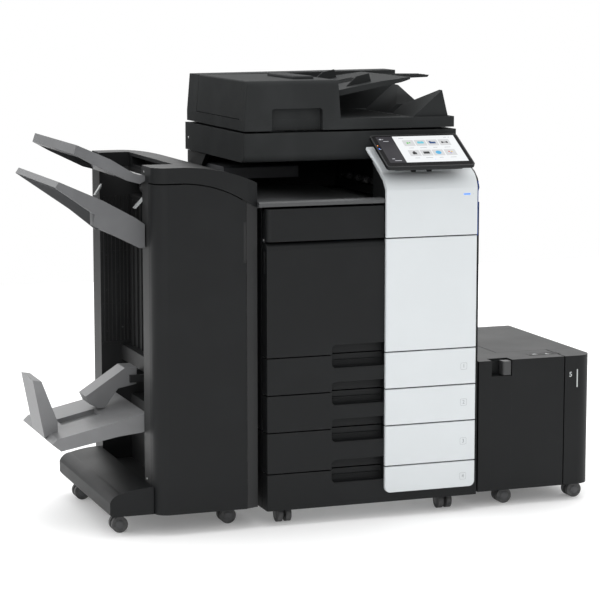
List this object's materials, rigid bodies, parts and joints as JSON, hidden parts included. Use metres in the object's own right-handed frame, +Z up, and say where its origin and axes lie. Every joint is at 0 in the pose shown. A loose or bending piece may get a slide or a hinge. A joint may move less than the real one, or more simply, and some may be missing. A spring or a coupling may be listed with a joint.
{
  "type": "photocopier",
  "caption": "Colour office photocopier with document feeder, tilting touch panel, paper drawers, stapling finisher and side paper deck.",
  "frame": {"origin": "on the floor, at the middle of the whole machine's footprint", "axes": "+X to the machine's right as seen by someone facing its front, +Y to its back, +Z up"},
  "size_m": [1.571, 0.71, 1.2105],
  "materials": {
    "steel_frame": "zinc-coated sheet steel",
    "black_cover": "charcoal moulded plastic, fine satin grain",
    "white_panel": "cool white moulded plastic, satin",
    "grey_tray": "mid grey moulded plastic, fine grain",
    "inner_unit": "dark grey moulded unit",
    "screen": "glossy black touch panel",
    "platen": "clear float glass",
    "roller_rubber": "black rubber rollers on a steel shaft",
    "caster_frame": "black nylon",
    "caster_tyre": "dark rubber tread"
  },
  "bodies": {
    "root": {"chassis": "steel_frame", "left_covers": "black_cover", "right_cover": "black_cover", "rear_cover": "black_cover", "imaging_units": "inner_unit", "transfer_belt_unit": "inner_unit", "fuser_unit": "inner_unit", "toner_bottles": "inner_unit", "output_tray": "black_cover", "column_housing": "black_cover", "column_cover": "white_panel", "upper_frame": "black_cover", "relay_unit": "black_cover", "scanner_housing": "black_cover", "platen_glass": "platen", "fixed_caster_forks": "caster_frame", "finisher_body": "black_cover", "finisher_top_cover": "black_cover", "finisher_upper_tray": "grey_tray", "booklet_tray": "grey_tray", "finisher_foot_cover": "black_cover"},
    "feeder": {"feeder_base": "black_cover", "feeder_end_covers": "black_cover", "platen_pad": "white_panel"},
    "feeder_cover": {"feeder_cover": "black_cover"},
    "pickup_roller": {"feeder_pickup_roller": "roller_rubber"},
    "input_tray": {"feeder_input_tray": "black_cover"},
    "guide_front": {"document_guide_front": "black_cover"},
    "guide_rear": {"document_guide_rear": "black_cover"},
    "scan_carriage": {"scan_carriage": "inner_unit"},
    "control_panel": {"panel_housing": "black_cover", "panel_screen": "screen"},
    "upper_door": {"upper_front_door": "black_cover"},
    "lower_door": {"lower_front_door": "black_cover", "lower_door_panel": "white_panel"},
    "drawer_1": {"drawer_1": "black_cover", "drawer_panel_1": "white_panel"},
    "drawer_2": {"drawer_2": "black_cover", "drawer_panel_2": "white_panel"},
    "drawer_3": {"drawer_3": "black_cover", "drawer_panel_3": "white_panel"},
    "drawer_4": {"drawer_4": "black_cover", "drawer_panel_4": "white_panel"},
    "finisher_door": {"finisher_door": "black_cover"},
    "elevator_tray": {"elevator_tray": "grey_tray"},
    "booklet_arm": {"booklet_arm": "grey_tray"},
    "exit_roller": {"finisher_exit_roller": "roller_rubber"},
    "caster_left": {"caster_fork_left": "caster_frame"},
    "caster_right": {"caster_fork_right": "caster_frame"},
    "caster_wheels_left": {"caster_wheels_left": "caster_tyre"},
    "caster_wheels_right": {"caster_wheels_right": "caster_tyre"},
    "main_rear_wheels": {"main_rear_wheels": "caster_tyre"},
    "finisher_wheels_left": {"finisher_wheels_left": "caster_tyre"},
    "finisher_wheels_right": {"finisher_wheels_right": "caster_tyre"},
    "deck": {"deck_body": "black_cover", "deck_caster_forks": "caster_frame"},
    "deck_lid": {"deck_lid": "black_cover"},
    "deck_lever": {"deck_lever": "grey_tray"},
    "deck_wheels_left": {"deck_wheels_left": "caster_tyre"},
    "deck_wheels_right": {"deck_wheels_right": "caster_tyre"}
  },
  "joints": [
    {"name": "feeder_hinge", "type": "hinge", "parent": "root", "child": "feeder", "pos_m": [0.0865, 0.337, 1.0625], "axis": [-1, 0, 0], "range_deg": [0, 65]},
    {"name": "feeder_cover_hinge", "type": "hinge", "parent": "feeder", "child": "feeder_cover", "pos_m": [-0.2205, 0.045, 1.1035], "axis": [0, -1, 0], "range_deg": [0, 60]},
    {"name": "pickup_roller_spin", "type": "hinge", "parent": "feeder_cover", "child": "pickup_roller", "pos_m": [-0.0035, 0.045, 1.1665], "axis": [0, 1, 0], "continuous": true},
    {"name": "input_tray_hinge", "type": "hinge", "parent": "feeder", "child": "input_tray", "pos_m": [0.0585, 0.045, 1.1585], "axis": [0, -1, 0], "range_deg": [0, 25]},
    {"name": "guide_front_slide", "type": "slide", "parent": "input_tray", "child": "guide_front", "axis": [0, 1, 0], "range_m": [0, 0.09]},
    {"name": "guide_rear_slide", "type": "slide", "parent": "input_tray", "child": "guide_rear", "axis": [0, 1, 0], "range_m": [-0.09, 0]},
    {"name": "scan_carriage_slide", "type": "slide", "parent": "root", "child": "scan_carriage", "axis": [1, 0, 0], "range_m": [0, 0.43]},
    {"name": "panel_tilt", "type": "hinge", "parent": "root", "child": "control_panel", "pos_m": [0.2565, -0.265, 0.985], "axis": [1, 0, 0], "range_deg": [-8, 25]},
    {"name": "upper_door_hinge", "type": "hinge", "parent": "root", "child": "upper_door", "pos_m": [-0.0285, -0.295, 0.78675], "axis": [1, 0, 0], "range_deg": [0, 80]},
    {"name": "lower_door_hinge", "type": "hinge", "parent": "root", "child": "lower_door", "pos_m": [0.1065, -0.295, 0.47875], "axis": [1, 0, 0], "range_deg": [0, 85]},
    {"name": "drawer_1_slide", "type": "slide", "parent": "root", "child": "drawer_1", "axis": [0, -1, 0], "range_m": [0, 0.42]},
    {"name": "drawer_2_slide", "type": "slide", "parent": "root", "child": "drawer_2", "axis": [0, -1, 0], "range_m": [0, 0.42]},
    {"name": "drawer_3_slide", "type": "slide", "parent": "root", "child": "drawer_3", "axis": [0, -1, 0], "range_m": [0, 0.42]},
    {"name": "drawer_4_slide", "type": "slide", "parent": "root", "child": "drawer_4", "axis": [0, -1, 0], "range_m": [0, 0.42]},
    {"name": "finisher_door_hinge", "type": "hinge", "parent": "root", "child": "finisher_door", "pos_m": [-0.4905, -0.283, 0.5], "axis": [0, 0, -1], "range_deg": [0, 100]},
    {"name": "elevator_slide", "type": "slide", "parent": "root", "child": "elevator_tray", "axis": [0, 0, -1], "range_m": [0, 0.33]},
    {"name": "booklet_arm_hinge", "type": "hinge", "parent": "root", "child": "booklet_arm", "pos_m": [-0.4815, 0.041, 0.378], "axis": [0, 1, 0], "range_deg": [0, 35]},
    {"name": "exit_roller_spin", "type": "hinge", "parent": "root", "child": "exit_roller", "pos_m": [-0.3895, 0.045, 0.884], "axis": [0, 1, 0], "continuous": true},
    {"name": "caster_left_swivel", "type": "hinge", "parent": "root", "child": "caster_left", "pos_m": [-0.1295, -0.219, 0.04], "axis": [0, 0, 1], "continuous": true},
    {"name": "caster_left_roll", "type": "hinge", "parent": "caster_left", "child": "caster_wheels_left", "pos_m": [-0.1295, -0.233, 0.022], "axis": [1, 0, 0], "continuous": true},
    {"name": "caster_right_swivel", "type": "hinge", "parent": "root", "child": "caster_right", "pos_m": [0.3465, -0.219, 0.04], "axis": [0, 0, 1], "continuous": true},
    {"name": "caster_right_roll", "type": "hinge", "parent": "caster_right", "child": "caster_wheels_right", "pos_m": [0.3465, -0.233, 0.022], "axis": [1, 0, 0], "continuous": true},
    {"name": "main_rear_roll", "type": "hinge", "parent": "root", "child": "main_rear_wheels", "pos_m": [-0.1295, 0.265, 0.022], "axis": [1, 0, 0], "continuous": true},
    {"name": "finisher_left_roll", "type": "hinge", "parent": "root", "child": "finisher_wheels_left", "pos_m": [-0.5815, 0.005, 0.022], "axis": [0, 1, 0], "continuous": true},
    {"name": "finisher_right_roll", "type": "hinge", "parent": "root", "child": "finisher_wheels_right", "pos_m": [-0.2775, 0.005, 0.022], "axis": [0, 1, 0], "continuous": true},
    {"name": "deck_dock", "type": "slide", "parent": "root", "child": "deck", "axis": [1, 0, 0], "range_m": [0, 0.25]},
    {"name": "deck_lid_hinge", "type": "hinge", "parent": "deck", "child": "deck_lid", "pos_m": [0.54325, 0.035, 0.41425], "axis": [0, -1, 0], "range_deg": [0, 85]},
    {"name": "deck_lever_slide", "type": "slide", "parent": "deck", "child": "deck_lever", "axis": [-1, 0, 0], "range_m": [0, 0.03], "stiffness_N_per_m": 200},
    {"name": "deck_left_roll", "type": "hinge", "parent": "deck", "child": "deck_wheels_left", "pos_m": [0.5305, 0.005, 0.022], "axis": [0, 1, 0], "continuous": true},
    {"name": "deck_right_roll", "type": "hinge", "parent": "deck", "child": "deck_wheels_right", "pos_m": [0.7505, 0.005, 0.022], "axis": [0, 1, 0], "continuous": true}
  ],
  "couplings": [
    {"joint": "guide_rear_slide", "follows": "guide_front_slide", "ratio": -1},
    {"joint": "deck_left_roll", "follows": "deck_dock", "rad_per_m": 45.455},
    {"joint": "deck_right_roll", "follows": "deck_dock", "rad_per_m": 45.455}
  ]
}
